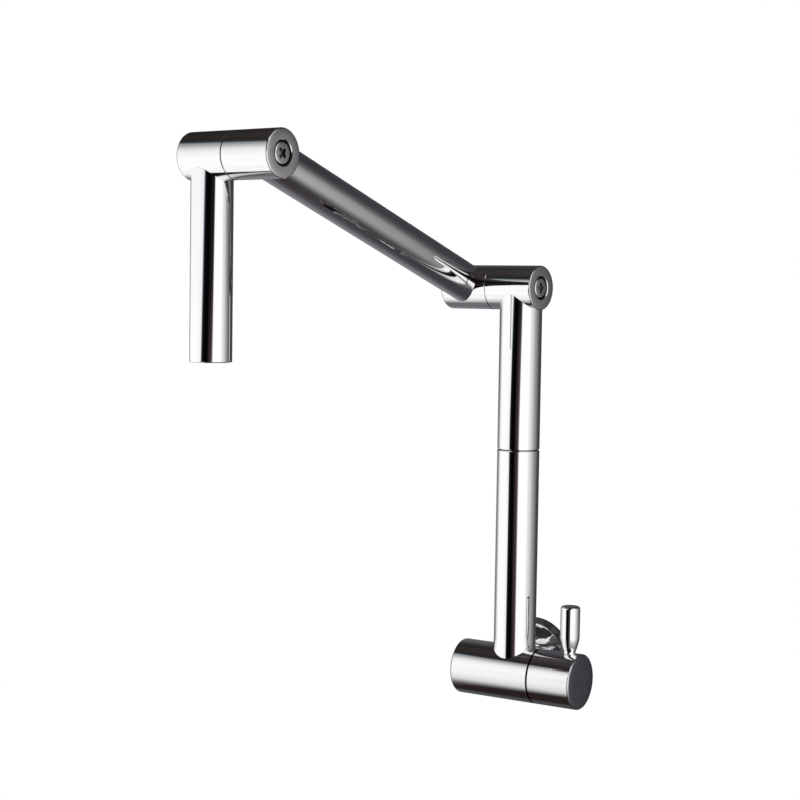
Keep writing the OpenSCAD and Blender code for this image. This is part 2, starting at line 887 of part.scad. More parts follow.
module elbow_arm_barrel() {
    color(chrome)
        at_arm()
            blind_half(-90);
}

module elbow_spindle() {
    color(brass)
        at_arm()
            hinge_spindle();
}

module elbow_o_rings() {
    color(black_rubber)
        at_arm()
            hinge_o_rings();
}

module elbow_thrust_washer() {
    color(black_plastic)
        at_arm()
            hinge_thrust_washer();
}

module elbow_screw() {
    color(chrome)
        at_arm()
            hinge_screw();
}

module elbow_screw_washer() {
    color(steel)
        at_arm()
            hinge_screw_washer();
}

// Arm

module arm_tube() {
    color(chrome)
        at_arm()
            difference() {
                translate([blind_tube_x, 0, 0])
                    rotate([90, 0, 0])
                        cylinder(r = tube_r, h = arm_len);
                translate([blind_tube_x, overrun, 0])
                    rotate([90, 0, 0])
                        cylinder(r = tube_bore_r, h = arm_len + 2 * overrun);
                barrel_bulk(blind_tube_x, barrel_r);
                translate([0, -arm_len, 0])
                    barrel_bulk(blind_tube_x, barrel_r);
            }
}

module tip_arm_barrel() {
    color(chrome)
        at_tip()
            screw_half(90 - arm_rest_angle);
}

// Spout

module tip_spout_barrel() {
    color(chrome)
        at_tip()
            blind_half(0);
}

module tip_spindle() {
    color(brass)
        at_tip()
            hinge_spindle();
}

module tip_o_rings() {
    color(black_rubber)
        at_tip()
            hinge_o_rings();
}

module tip_thrust_washer() {
    color(black_plastic)
        at_tip()
            hinge_thrust_washer();
}

module tip_screw() {
    color(chrome)
        at_tip()
            hinge_screw();
}

module tip_screw_washer() {
    color(steel)
        at_tip()
            hinge_screw_washer();
}

module spout_tube() {
    color(chrome)
        at_tip()
            difference() {
                translate([blind_tube_x, 0, 0])
                    rotate_extrude()
                        polygon(concat(
                            [[tube_bore_r, 0], [tube_bore_r, -spout_len]],
                            quarter([tube_r - spout_lip, spout_lip - spout_len],
                                [spout_lip, spout_lip], -90, 0, edge_steps),
                            [[tube_r, 0]]));
                barrel_bulk(blind_tube_x, barrel_r);
            }
}

module aerator_housing() {
    color(brass)
        at_tip()
            translate([blind_tube_x, 0, 0])
                difference() {
                    translate([0, 0, aerator_z])
                        cylinder(r = aerator_r, h = aerator_h);
                    translate([0, 0, aerator_z - overrun])
                        cylinder(d = aerator_bore_d, h = aerator_lip_h + 2 * overrun);
                    translate([0, 0, aerator_insert_z])
                        cylinder(r = aerator_insert_r + seat_gap, h = aerator_h);
                }
}

// Flow straightener: a plate with rings of holes round a middle one
module aerator_insert() {
    color(black_plastic)
        at_tip()
            translate([blind_tube_x, 0, aerator_insert_z])
                difference() {
                    cylinder(r = aerator_insert_r, h = aerator_insert_h);
                    for (ring = [0 : aerator_rings])
                        for (i = [0 : max(6 * ring, 1) - 1])
                            rotate([0, 0, 360 * i / max(6 * ring, 1)])
                                translate([ring * aerator_hole_pitch, 0, -overrun])
                                    cylinder(d = aerator_hole_d,
                                        h = aerator_insert_h + 2 * overrun, $fn = 24);
                }
}

module aerator_washer() {
    washer_z = aerator_z + aerator_h;
    color(black_rubber)
        at_tip()
            translate([blind_tube_x, 0, 0])
                ring_z(washer_z, washer_z + aerator_washer_t, aerator_r, aerator_insert_r - aerator_wall);
}

wall_flange();
inlet_nipple();
valve_body();
seat_seal();
fixed_disc();
moving_disc();
cartridge_body();
cartridge_gasket();
cartridge_stem();
stem_o_rings();
stem_clip();
handle_hub();
lever_pin();
hub_set_screw();
riser_lower();
swivel_spigot();
swivel_o_rings();
swivel_washer();
swivel_snap_ring();
riser_upper();
elbow_column_barrel();
elbow_arm_barrel();
elbow_spindle();
elbow_o_rings();
elbow_thrust_washer();
elbow_screw();
elbow_screw_washer();
arm_tube();
tip_arm_barrel();
tip_spout_barrel();
tip_spindle();
tip_o_rings();
tip_thrust_washer();
tip_screw();
tip_screw_washer();
spout_tube();
aerator_housing();
aerator_insert();
aerator_washer();
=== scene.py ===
import json
import math

import bmesh
import bpy
from mathutils import Matrix, Vector


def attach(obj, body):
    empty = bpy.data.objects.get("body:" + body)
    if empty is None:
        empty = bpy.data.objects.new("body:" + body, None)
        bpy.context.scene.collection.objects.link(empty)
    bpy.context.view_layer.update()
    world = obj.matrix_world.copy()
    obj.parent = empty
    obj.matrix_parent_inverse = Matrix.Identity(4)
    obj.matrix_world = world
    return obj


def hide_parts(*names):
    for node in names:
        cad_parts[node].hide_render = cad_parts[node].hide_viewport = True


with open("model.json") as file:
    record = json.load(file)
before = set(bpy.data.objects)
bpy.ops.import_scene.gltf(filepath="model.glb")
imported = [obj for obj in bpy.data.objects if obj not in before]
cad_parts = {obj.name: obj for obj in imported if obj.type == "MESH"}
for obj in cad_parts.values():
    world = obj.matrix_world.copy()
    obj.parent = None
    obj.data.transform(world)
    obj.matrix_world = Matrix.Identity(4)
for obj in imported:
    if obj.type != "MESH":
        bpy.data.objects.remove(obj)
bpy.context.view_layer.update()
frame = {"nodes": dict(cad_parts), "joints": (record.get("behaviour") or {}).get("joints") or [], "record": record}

MM = 0.001
X_AXIS = (1.0, 0.0, 0.0)
Z_AXIS = (0.0, 0.0, 1.0)
OUT_OF_WALL = (0.0, -1.0, 0.0)

# Places that the joints give
joints = {joint["name"]: joint for joint in frame["joints"]}
hinge_axis = Vector(joints["elbow_hinge"]["axis"])
hinges = {"elbow_screw": Vector(joints["elbow_hinge"]["pos_m"]),
          "tip_screw": Vector(joints["spout_hinge"]["pos_m"])}
valve_middle = Vector(joints["handle_turn"]["pos_m"])


class Nodes:
    """Short calls for building a node tree."""

    def __init__(self, tree):
        self.tree = tree

    def new(self, kind, **settings):
        node = self.tree.nodes.new(kind)
        for name, value in settings.items():
            setattr(node, name, value)
        return node

    def put(self, node, socket, value):
        target = node.inputs[socket]
        if isinstance(value, bpy.types.NodeSocket):
            self.tree.links.new(value, target)
        else:
            target.default_value = value

    def math(self, operation, *values):
        node = self.new("ShaderNodeMath", operation=operation)
        for i, value in enumerate(values):
            self.put(node, i, value)
        return node.outputs[0]

    def vector(self, operation, *values):
        node = self.new("ShaderNodeVectorMath", operation=operation)
        for i, value in enumerate(values):
            self.put(node, i, value)
        return node

    def split(self, vector):
        node = self.new("ShaderNodeSeparateXYZ")
        self.put(node, 0, vector)
        return node.outputs

    def span(self, value, start, end, low=0.0, high=1.0, curve="LINEAR"):
        """Value from low at start to high at end."""
        node = self.new("ShaderNodeMapRange", interpolation_type=curve)
        for socket, number in zip(range(5), (value, start, end, low, high)):
            self.put(node, socket, number)
        return node.outputs[0]

    def profile(self, value, stops):
        """Level through (degrees, level) stops, straight between them."""
        start, end = stops[0][0], stops[-1][0]
        node = self.new("ShaderNodeValToRGB")
        self.put(node, 0, self.span(value, start, end))
        elements = node.color_ramp.elements
        elements.remove(elements[1])
        for i, (degrees, level) in enumerate(stops):
            place = (degrees - start) / (end - start)
            element = elements[0] if i == 0 else elements.new(place)
            element.position = place
            element.color = (level, level, level, 1)
        channels = self.new("ShaderNodeSeparateColor")
        self.put(channels, 0, node.outputs[0])
        return channels.outputs[0]

    def noise(self, place, scale, detail=2.0, roughness=0.5):
        node = self.new("ShaderNodeTexNoise")
        self.put(node, "Vector", place)
        self.put(node, "Scale", scale)
        self.put(node, "Detail", detail)
        self.put(node, "Roughness", roughness)
        return node.outputs[0]

    def blend(self, factor, low, high):
        """Colour from low to high."""
        node = self.new("ShaderNodeMix", data_type="RGBA")
        self.put(node, 0, factor)
        for socket, colour in ((6, low), (7, high)):
            is_socket = isinstance(colour, bpy.types.NodeSocket)
            self.put(node, socket, colour if is_socket else (*colour, 1))
        return node.outputs[2]


def new_material(name):
    material = bpy.data.materials.new(name)
    material.use_nodes = True
    return material, Nodes(material.node_tree), material.node_tree.nodes["Principled BSDF"]


# Camera at the photograph's viewing angle, in degrees and metres, with the sensor in millimetres
CAMERA_AZIMUTH = 32.804
CAMERA_ELEVATION = 3.632
CAMERA_ROLL = 0.867
CAMERA_DISTANCE = 1.0786
CAMERA_TARGET = (-0.07285, -0.0415, 0.15509)
FOCAL_PIXELS = 1792.95
FRAME_PIXELS = 800
SENSOR_WIDTH = 36.0
CLIP_START = 0.01


def direction(azimuth, elevation):
    """Unit vector of a direction: azimuth 0 looks out of the wall, +90 along the valve."""
    a, e = math.radians(azimuth), math.radians(elevation)
    return Vector((math.sin(a) * math.cos(e), -math.cos(a) * math.cos(e), math.sin(e)))


def make_camera():
    data = bpy.data.cameras.new("camera")
    camera = bpy.data.objects.new("camera", data)
    bpy.context.scene.collection.objects.link(camera)
    azimuth, roll = math.radians(CAMERA_AZIMUTH), math.radians(CAMERA_ROLL)
    back = direction(CAMERA_AZIMUTH, CAMERA_ELEVATION)
    level = Vector((math.cos(azimuth), math.sin(azimuth), 0))
    rise = back.cross(level)
    right = level * math.cos(roll) + rise * math.sin(roll)
    up = rise * math.cos(roll) - level * math.sin(roll)
    place = Matrix.Translation(Vector(CAMERA_TARGET) + back * CAMERA_DISTANCE)
    camera.matrix_world = place @ Matrix((right, up, back)).transposed().to_4x4()
    data.sensor_width = SENSOR_WIDTH
    data.lens = FOCAL_PIXELS / FRAME_PIXELS * SENSOR_WIDTH
    data.clip_start = CLIP_START
    bpy.context.scene.camera = camera


# Studio lights on a dome round the object. Each has a tint, how its level runs by azimuth and how
# much of that it keeps by elevation, as (degrees, level) stops
STUDIO = (
    ("left_panel", (1.0, 0.993, 0.996),
     ((-112, 0), (-104, 0.36), (-97, 0.68), (-91, 0.9), (-84, 0.985), (-45, 0.985), (-33, 0.95),
      (-25, 0.9), (-20.5, 0.86), (-18.7, 0.72), (-16, 0.14), (-14.5, 0.03), (-11, 0.008),
      (-5, 0.002), (-2, 0)),
     ((-66.5, 0), (-65, 0.045), (-63, 0.1), (-60, 0.22), (-56, 0.42), (-50, 0.67), (-43, 0.8),
      (-36, 0.88), (-29, 0.96), (-22, 1), (2, 1), (10, 0.96), (17, 0.91), (22, 0.87), (28, 0.745),
      (33, 0.56), (38, 0.36), (43, 0.2), (44.5, 0))),
    ("left_panel_low", (1.0, 0.99, 1.0),
     ((-90, 0), (-80, 0.06), (-72, 0.11), (-62, 0.15), (-55, 0.09), (-48, 0)),
     ((-54, 0), (-49, 0.8), (-44, 1), (-38, 0.9), (-33, 0))),
    ("left_panel_top_rim", (0.35, 0.7, 1.0),
     ((-72, 0), (-55, 0.09), (-24, 0.09), (-17, 0)),
     ((28, 0), (35, 0.5), (41, 1), (45, 0.9), (49, 0))),
    ("left_panel_side_rim", (0.3, 0.65, 1.0),
     ((-19, 0), (-17, 0.13), (-14, 0.11), (-11, 0)),
     ((1, 0), (6, 1), (28, 1), (34, 0))),
    ("right_panel", (1.0, 1.0, 1.0),
     ((35, 0), (37.8, 0.1), (40.3, 0.86), (42, 0.95), (48, 1), (87, 1), (90, 0.88), (95, 0.79),
      (99, 0.72), (104, 0.68), (110, 0.59), (122, 0)),
     ((-60, 0.1), (-53, 0.22), (-47, 0.32), (-40, 0.55), (-33, 0.76), (-27, 1), (44, 1), (50, 0.8),
      (54, 0.2), (57, 0))),
    ("right_wing", (1.0, 0.985, 1.005),
     ((110, 0), (117, 0.21), (122, 0.36), (127, 0.31), (132, 0.265), (137, 0.2), (142, 0.13),
      (148, 0.07), (155, 0.03), (165, 0)),
     ((-60, 0.1), (-53, 0.22), (-47, 0.32), (-40, 0.52), (-33, 0.72), (-26, 0.95), (-18, 1),
      (-4, 1), (4, 0.93), (10, 0.8), (17, 0.62), (22, 0.45), (26, 0.35), (30, 0.2), (40, 0.1),
      (50, 0))),
    ("camera_side", (1.25, 0.95, 0.9),
     ((13.5, 0), (17.6, 0.013), (21.6, 0.023), (28.6, 0.03), (32, 0.055), (33.5, 0.09),
      (36, 0.095), (38, 0.06), (41, 0)),
     ((-20, 1), (1, 1), (6, 0.35), (12, 0.2), (40, 0))),
    ("rear_left", (1.0, 0.98, 1.06),
     ((-165, 0), (-160, 0.04), (-157, 0.07), (-153, 0.11), (-150, 0.15), (-147, 0.18),
      (-143, 0.19), (-136, 0.195), (-131, 0.23), (-120, 0.24), (-108, 0.24), (-100, 0.12),
      (-94, 0)),
     ((-66, 0), (-60, 0.05), (-55, 0.1), (-50, 0.18), (-44, 0.29), (-39, 0.42), (-35, 0.51),
      (-29, 0.74), (-23, 0.84), (-16, 0.92), (-5, 0.92), (3, 0.6), (12, 0.43), (18, 0.31),
      (26, 0.19), (34, 0.07), (41, 0.02), (47, 0))),
    ("rear_left_low", (1.0, 0.96, 1.12),
     ((-142, 0), (-131, 0.09), (-121, 0.1), (-111, 0.09), (-104, 0.05), (-99, 0)),
     ((-60, 0), (-56, 0.4), (-53, 1), (-46, 1), (-40, 0.4), (-33, 0))),
    ("rear", (1.0, 0.96, 1.1),
     ((130, 0), (146, 0.03), (160, 0.042), (200, 0.05), (215, 0.05), (235, 0)),
     ((-70, 0), (-62, 1), (34, 1), (46, 0.4), (60, 0))),
    ("ceiling", (1.12, 0.97, 0.93),
     ((-180, 0.034), (180, 0.034)),
     ((40, 0), (43, 0.45), (50, 0.5), (53, 0.6), (56, 0.7), (59, 0.88), (62, 1), (90, 1))),
    ("floor_below", (1.35, 0.9, 0.86),
     ((-180, 0.015), (180, 0.015)),
     ((-90, 1), (-66, 1), (-60, 0))),
)
# How far the panels' edges lean for each degree of height, by azimuth, and the heights that count
LEAN = ((-60, 0), (-35, 0.85), (0, 0.85), (30, 0.55), (48, 0.55), (75, 0))
LEAN_LOW = -4.0
LEAN_HIGH = 42.0
LIGHT_GAIN = 1.075
UNLIT = (0.0016, 0.0015, 0.0017)
DOME_RADIUS = 0.75
DOME_MIDDLE = (-0.03, -0.13, 0.14)
DOME_SEGMENTS = 96
DOME_RINGS = 48


def make_dome():
    """A light tent that only reflections and soft light see."""
    bpy.ops.mesh.primitive_uv_sphere_add(segments=DOME_SEGMENTS, ring_count=DOME_RINGS,
                                         radius=DOME_RADIUS, location=DOME_MIDDLE)
    dome = bpy.context.object
    dome.name = "studio_dome"
    dome.visible_camera = False
    material = bpy.data.materials.new("studio_light")
    material.use_nodes = True
    material.node_tree.nodes.clear()
    dome.data.materials.append(material)
    n = Nodes(material.node_tree)
    place = n.new("ShaderNodeTexCoord").outputs["Object"]
    x, y, z = n.split(n.vector("NORMALIZE", place).outputs[0])
    to_degrees = 180 / math.pi
    turn = n.math("ARCTAN2", x, n.math("MULTIPLY", y, -1.0))
    azimuth = n.math("MULTIPLY", turn, to_degrees)
    azimuth_from_zero = n.math("WRAP", azimuth, 360.0, 0.0)
    elevation = n.math("MULTIPLY", n.math("ARCSINE", z), to_degrees)
    height = n.math("MAXIMUM", n.math("MINIMUM", elevation, LEAN_HIGH), LEAN_LOW)
    leaned = n.math("SUBTRACT", azimuth, n.math("MULTIPLY", height, n.profile(azimuth, LEAN)))
    light = UNLIT
    for name, tint, by_azimuth, by_elevation in STUDIO:
        passes_behind = by_azimuth[-1][0] > 180
        across = n.profile(azimuth_from_zero if passes_behind else leaned, by_azimuth)
        colour = n.vector("SCALE", tuple(LIGHT_GAIN * channel for channel in tint))
        colour.label = name
        n.put(colour, "Scale", n.math("MULTIPLY", across, n.profile(elevation, by_elevation)))
        light = n.vector("ADD", light, colour.outputs[0]).outputs[0]
    glow = n.new("ShaderNodeEmission")
    n.put(glow, 0, light)
    out = n.new("ShaderNodeOutputMaterial")
    n.put(out, 0, glow.outputs[0])


BACKDROP = (1.0, 1.0, 1.0, 1.0)


def make_world():
    world = bpy.data.worlds.new("studio")
    bpy.context.scene.world = world
    world.use_nodes = True
    world.node_tree.nodes["Background"].inputs[0].default_value = BACKDROP


FLOOR_Z = -0.30
FLOOR_RADIUS = 0.70
FLOOR_SIDES = 128
FLOOR_TONES = ((0.84, 0.84, 0.84), (0.88, 0.88, 0.88))
FLOOR_SCALE = 12.0
FLOOR_ROUGHNESS = 0.9
FLOOR_GLOW = 0.93


def make_floor():
    """A plain pale floor under the object, as bright as the backdrop."""
    bpy.ops.mesh.primitive_circle_add(vertices=FLOOR_SIDES, radius=FLOOR_RADIUS, fill_type="NGON",
                                      location=(DOME_MIDDLE[0], DOME_MIDDLE[1], FLOOR_Z))
    floor = bpy.context.object
    floor.name = "studio_floor"
    floor.visible_glossy = False
    material, n, shader = new_material("pale_floor")
    floor.data.materials.append(material)
    place = n.new("ShaderNodeTexCoord").outputs["Object"]
    n.put(shader, "Base Color", n.blend(n.noise(place, FLOOR_SCALE), *FLOOR_TONES))
    n.put(shader, "Roughness", FLOOR_ROUGHNESS)
    n.put(shader, "Emission Color", (1, 1, 1, 1))
    n.put(shader, "Emission Strength", FLOOR_GLOW)


# Most of a noise's values lie between these
NOISE_LOW = 0.3
NOISE_HIGH = 0.7

# Chrome plate: the tones of its polish, its clouds and polishing waves per metre, and the waves'
# height in metres
PLATE_TONES = ((0.922, 0.915, 0.919), (0.952, 0.947, 0.95))
SATIN_TONE = 0.88
CLOUD_SCALE = 70.0
WAVE_SCALE = 500.0
WAVE_HEIGHT = 0.15e-6

# Where the painted dark reflection on the blind ends' rounded edges begins and ends, each from none
# to full, as the normal's share along the axis
EDGE_START = (-0.03, -0.1)
EDGE_END = (-0.97, -0.9)
EDGE_SHADE_TONE = (0.16, 0.155, 0.17)

# How the satin faces fall away: radius where it starts, the rim's radius and the depth
VALVE_CROWN = (9 * MM, 15.9 * MM, 0.3 * MM)
BARREL_CROWN = (8 * MM, 12.75 * MM, 0.3 * MM)

# Ripples of the pressed flange, per metre and in height
RIPPLES = (170.0, 0.35 * MM)

# Painted shade in the seam between valve and hub, as a stretch of x, and in the unpolished screw
# recesses, which are also rougher
SEAM = (24.97 * MM, 25.93 * MM)
SEAM_SHADE_TONE = (0.012, 0.011, 0.012)
SEAM_ROUGHNESS = 0.5
SEAM_FADES = (0.1 * MM, 0.05 * MM)
RECESS_RADIUS = 6.62 * MM
RECESS_SHADE_TONE = (0.06, 0.058, 0.062)
RECESS_ROUGHNESS = 0.4
RECESS_FADES = (0.05 * MM, 0.03 * MM)
RECESS_FACING = (-0.7, -0.4)


def bump(n, shader, height):
    """Surface shaped by a height in metres."""
    node = n.new("ShaderNodeBump")
    n.put(node, "Height", height)
    n.put(node, "Distance", 1.0)
    n.put(node, "Strength", 1.0)
    n.put(shader, "Normal", node.outputs[0])


def off_axis(n, place, points, axis):
    """Distance from the nearest of the lines along axis through points."""
    nearest = None
    for point in points:
        offset = n.vector("SUBTRACT", place, tuple(point)).outputs[0]
        along = n.vector("PROJECT", offset, tuple(axis)).outputs[0]
        away = n.vector("SUBTRACT", offset, along).outputs[0]
        length = n.vector("LENGTH", away).outputs["Value"]
        nearest = length if nearest is None else n.math("MINIMUM", nearest, length)
    return nearest


def scaled(tone, *factors):
    """A grey or coloured tone times the factors."""
    return tuple(channel * math.prod(factors) for channel in tone)


def make_chrome(name, axis, facing=(0.35, 0.9), tone=1.0, polish=(0.008, 0.026),
                face_tint=(1.0, 1.0, 1.0), face_finish=(0.09, 0.16), mottle=(900.0, 0.06),
                points=(), crown=None, seam=None, painted_dark_edge=False, ripples=None, recess=None):
    """Mirror chrome plate with faint polishing marks; the faces that look along axis are satin.

    facing: the normal's share along the axis where satin starts and where it is full
    polish, face_finish: roughness of the mirror and of the satin, from and to
    mottle: grain of the satin, as scale and contrast
    crown: how the satin faces fall away round points, as start, rim and depth
    seam: stretch of x painted dark as shade in the seam
    painted_dark_edge: whether the rounded edges that look against the axis get a painted dark reflection
    ripples: waves of a pressed plate, as scale and height
    recess: radius of the unpolished screw recess round points, rougher there and darkened with painted shade
    """
    material, n, shader = new_material(name)
    coords = n.new("ShaderNodeTexCoord")
    place = coords.outputs["Object"]
    across = n.vector("DOT_PRODUCT", coords.outputs["Normal"], tuple(axis)).outputs["Value"]
    face = n.span(across, *facing, curve="SMOOTHSTEP")
    cloud = n.noise(place, CLOUD_SCALE, 4.0)
    grain = n.noise(place, mottle[0], 3.0, 0.55)
    grain_share = n.span(grain, NOISE_LOW, NOISE_HIGH)
    satin = [scaled(face_tint, SATIN_TONE, tone, 1.0 + side * mottle[1]) for side in (-1, 1)]
    mirror_colour = n.blend(cloud, *(scaled(plate, tone) for plate in PLATE_TONES))
    colour = n.blend(face, mirror_colour, n.blend(grain_share, *satin))
    smooth = n.span(cloud, NOISE_LOW, NOISE_HIGH, *polish)
    dull = n.span(grain, NOISE_LOW, NOISE_HIGH, *face_finish)
    rough = n.math("MULTIPLY_ADD", face, n.math("SUBTRACT", dull, smooth), smooth)
    # Painted shade: the stretch of x at the seam between valve and hub is darkened
    if seam:
        x = n.split(place)[0]
        seam_shade = n.math("MULTIPLY", n.span(x, seam[0] - SEAM_FADES[0], seam[0]),
                       n.span(x, seam[1], seam[1] + SEAM_FADES[1], 1.0, 0.0))
        colour = n.blend(seam_shade, colour, SEAM_SHADE_TONE)
        rough = n.math("MAXIMUM", rough, n.math("MULTIPLY", seam_shade, SEAM_ROUGHNESS))
    if painted_dark_edge:
        # Painted dark reflection on the rounded edges of the blind ends
        edge = n.math("MULTIPLY", n.span(across, *EDGE_START), n.span(across, *EDGE_END))
        colour = n.blend(edge, colour, EDGE_SHADE_TONE)
    radius = off_axis(n, place, points, axis)
    if recess:
        # Painted shade in the screw recess, over its real unpolished roughness
        inside = n.span(radius, recess + RECESS_FADES[0], recess - RECESS_FADES[1])
        inside = n.math("MULTIPLY", inside, n.span(across, *RECESS_FACING))
        colour = n.blend(inside, colour, RECESS_SHADE_TONE)
        rough = n.math("MAXIMUM", rough, n.math("MULTIPLY", inside, RECESS_ROUGHNESS))
    n.put(shader, "Base Color", colour)
    n.put(shader, "Metallic", 1.0)
    n.put(shader, "Roughness", rough)
    height = n.math("MULTIPLY", n.noise(place, WAVE_SCALE), WAVE_HEIGHT)
    if ripples:
        height = n.math("MULTIPLY_ADD", n.noise(place, ripples[0], 1.0), ripples[1], height)
    if crown:
        start, rim, depth = crown
        fall = n.span(radius, start, rim)
        fall = n.math("MULTIPLY", n.math("MULTIPLY", fall, fall), depth)
        height = n.math("SUBTRACT", height, fall)
    bump(n, shader, height)
    return material


# Plain materials: share of the fine grain's scale that the clouds have, where their mean runs, and
# the grain's height
CLOUD_SHARE = 1 / 8
MEAN_LOW = 0.35
MEAN_HIGH = 0.65
GRAIN_HEIGHT = 0.01 * MM


def make_plain(name, low, high, roughness, scale, metallic=0.0):
    """Material whose colour, roughness and surface vary with one fine grain."""
    material, n, shader = new_material(name)
    place = n.new("ShaderNodeTexCoord").outputs["Object"]
    grain = n.noise(place, scale, 4.0, 0.6)
    cloud = n.noise(place, scale * CLOUD_SHARE)
    mean = n.math("MULTIPLY", n.math("ADD", grain, cloud), 0.5)
    n.put(shader, "Base Color", n.blend(n.span(mean, MEAN_LOW, MEAN_HIGH), low, high))
    n.put(shader, "Metallic", metallic)
    n.put(shader, "Roughness", n.span(grain, NOISE_LOW, NOISE_HIGH, *roughness))
    bump(n, shader, n.math("MULTIPLY", grain, GRAIN_HEIGHT))
    return material


def make_chromes():
    """Chrome finishes by the kind of piece that they are for."""
    return {
        "valve": make_chrome("polished_chrome_valve", X_AXIS, face_tint=(0.5, 0.48, 0.545),
                             mottle=(620.0, 0.2), points=[valve_middle], crown=VALVE_CROWN,
                             seam=SEAM, painted_dark_edge=True),
        "barrel": make_chrome("polished_chrome_barrel", hinge_axis, face_tint=(1.0, 0.972, 0.99),
                              points=hinges.values(), crown=BARREL_CROWN, painted_dark_edge=True,
                              recess=RECESS_RADIUS),
        "tube": make_chrome("polished_chrome_tube", Z_AXIS, facing=(0.985, 0.999)),
        # Painted shade: the flange is toned down, and its rim and sloping band get a dark tint
        "flange": make_chrome("polished_chrome_flange", OUT_OF_WALL, facing=(0.985, 0.94),
                              tone=0.9, polish=(0.02, 0.04), face_tint=(0.25, 0.245, 0.27),
                              face_finish=(0.26, 0.34), ripples=RIPPLES),
        "screw": make_chrome("screw_chrome", hinge_axis, tone=0.9, polish=(0.05, 0.1),
                             face_tint=(1.0, 0.97, 0.98), face_finish=(0.07, 0.12)),
    }


def make_plains():
    """The other finishes, by the record's slot or by use."""
    return {
        # Darker metal for the deep faces of the screws' cross recess: painted shade
        "cross_recess_shade": make_plain("screw_recess_shade", (0.12, 0.115, 0.12), (0.30, 0.29, 0.30),
                                   (0.16, 0.3), 1500.0, metallic=1.0),
        "brass": make_plain("machined_brass", (0.62, 0.46, 0.20), (0.80, 0.64, 0.32),
                            (0.22, 0.38), 1500.0, metallic=1.0),
        "ceramic": make_plain("lapped_ceramic", (0.80, 0.79, 0.76), (0.90, 0.89, 0.87),
                              (0.12, 0.24), 2400.0),
        "rubber": make_plain("moulded_rubber", (0.012, 0.012, 0.013), (0.03, 0.03, 0.032),
                             (0.55, 0.75), 2000.0),
        "acetal": make_plain("black_acetal", (0.010, 0.010, 0.012), (0.022, 0.022, 0.025),
                             (0.3, 0.45), 1600.0),
        "steel": make_plain("brushed_steel", (0.42, 0.42, 0.44), (0.62, 0.62, 0.64),
                            (0.22, 0.38), 1800.0, metallic=1.0),
        # Near-black steel for the screw washers: painted shade in the gap round the screws
        "washer_shade_steel": make_plain("washer_steel_shade", (0.010, 0.010, 0.011), (0.04, 0.04, 0.042),
                                  (0.4, 0.6), 1800.0, metallic=1.0),
    }


def finish_of(name, slot, chromes, plains):
    if slot == "screw_chrome":
        return chromes["screw"]
    if slot == "polished_chrome":
        for kind in ("barrel", "valve", "flange"):
            if kind in name:
                return chromes[kind]
        return chromes["valve" if name == "handle_hub" else "tube"]
    # Screw washers take the near-black steel, painted shade in the gap
    return plains["washer_shade_steel" if name.endswith("screw_washer") else slot]


def dress(chromes, plains):
    """Give every node the finish of its record slot."""
    for part in frame["record"]["subparts"]:
        name = part["node"]
        for slot in frame["nodes"][name].material_slots:
            slot.material = finish_of(name, part["material_slot"], chromes, plains)


SHARP_ANGLE = math.radians(38)
WELD_DISTANCE = 1e-7
SLIVER_LENGTH = 1e-8


def make_skin(name, rows, closed, material):
    """Surface through rows of points, each row a ring.

    A closed skin joins its last row to its first, and an open one's end rows shrink to points.
    """
    mesh = bpy.data.meshes.new(name)
    piece = bpy.data.objects.new(name, mesh)
    bpy.context.scene.collection.objects.link(piece)
    skin = bmesh.new()
    rings = [[skin.verts.new(point) for point in row] for row in rows]
    for low, high in zip(rings, rings[1:] + rings[:1] if closed else rings[1:]):
        for k in range(len(low)):
            skin.faces.new((low[k - 1], low[k], high[k], high[k - 1]))
    bmesh.ops.remove_doubles(skin, verts=skin.verts, dist=WELD_DISTANCE)
    bmesh.ops.dissolve_degenerate(skin, edges=skin.edges, dist=SLIVER_LENGTH)
    bmesh.ops.recalc_face_normals(skin, faces=skin.faces)
    for face in skin.faces:
        face.smooth = True
    for edge in skin.edges:
        if len(edge.link_faces) == 2 and edge.calc_face_angle() > SHARP_ANGLE:
            edge.smooth = False
    skin.to_mesh(mesh)
    skin.free()
    mesh.materials.append(material)
    return piece


def ring_angles(count):
    return [2 * math.pi * k / count for k in range(count)]


# Hinge screws, in millimetres: head, shank and cross recess
HEAD_RADIUS = 5.7
HEAD_HEIGHT = 2.4
HEAD_ROUND = 0.85
HEAD_DOME = 0.22
HEAD_CHAMFER = 0.15
SHANK_RADIUS = 2.5
SHANK_NECK = 0.4
SHANK_PITCH = 0.8
SHANK_THREAD = 0.3
SHANK_END = 0.5
SHANK_END_TAPER = 0.8
ROOT_START_SHARE = 0.4
ROOT_END_SHARE = 0.6
CROSS_WIDTH = 1.9
CROSS_LENGTH = 6.4
CROSS_DEPTH = 2.0
CROSS_END_SLOPE = 2.4
CROSS_LIP = 0.2
PIT_RADIUS = 1.7
PIT_SLOPE = 4
SHADE_FROM_DEPTH = 0.3

# Mesh of the screws: spokes, close rings over the cross, rings to the rim and steps round it
SCREW_SPOKES = 168
CROSS_RINGS = 38
CROSS_RING_STEP = 0.09
RIM_RINGS = 6
ROUND_STEP_DEGREES = 15


def cross_depth(a, b):
    """Depth of the cross recess at a point of the head, in millimetres."""
    radius = math.hypot(a, b)
    deepest = min(CROSS_DEPTH, max(0.0, (PIT_RADIUS - radius) * PIT_SLOPE))
    for along, side in ((abs(a), abs(b)), (abs(b), abs(a))):
        wall = min(1.0, max(0.0, (CROSS_WIDTH / 2 - side) / CROSS_LIP))
        run = min(CROSS_DEPTH, max(0.0, (CROSS_LENGTH / 2 - along) * CROSS_END_SLOPE))
        deepest = max(deepest, run * wall * wall * (3 - 2 * wall))
    return deepest


def dome_fall(radius):
    """How far the head's dome lies under its top at a radius."""
    return HEAD_DOME * (radius / HEAD_RADIUS) ** 2


def head_radii():
    """Radii of the rings over the head, close together over the cross."""
    flat, cross = HEAD_RADIUS - HEAD_ROUND, CROSS_RINGS * CROSS_RING_STEP
    return ([CROSS_RING_STEP * k for k in range(CROSS_RINGS + 1)]
            + [cross + (flat - cross) * k / RIM_RINGS for k in range(1, RIM_RINGS + 1)])


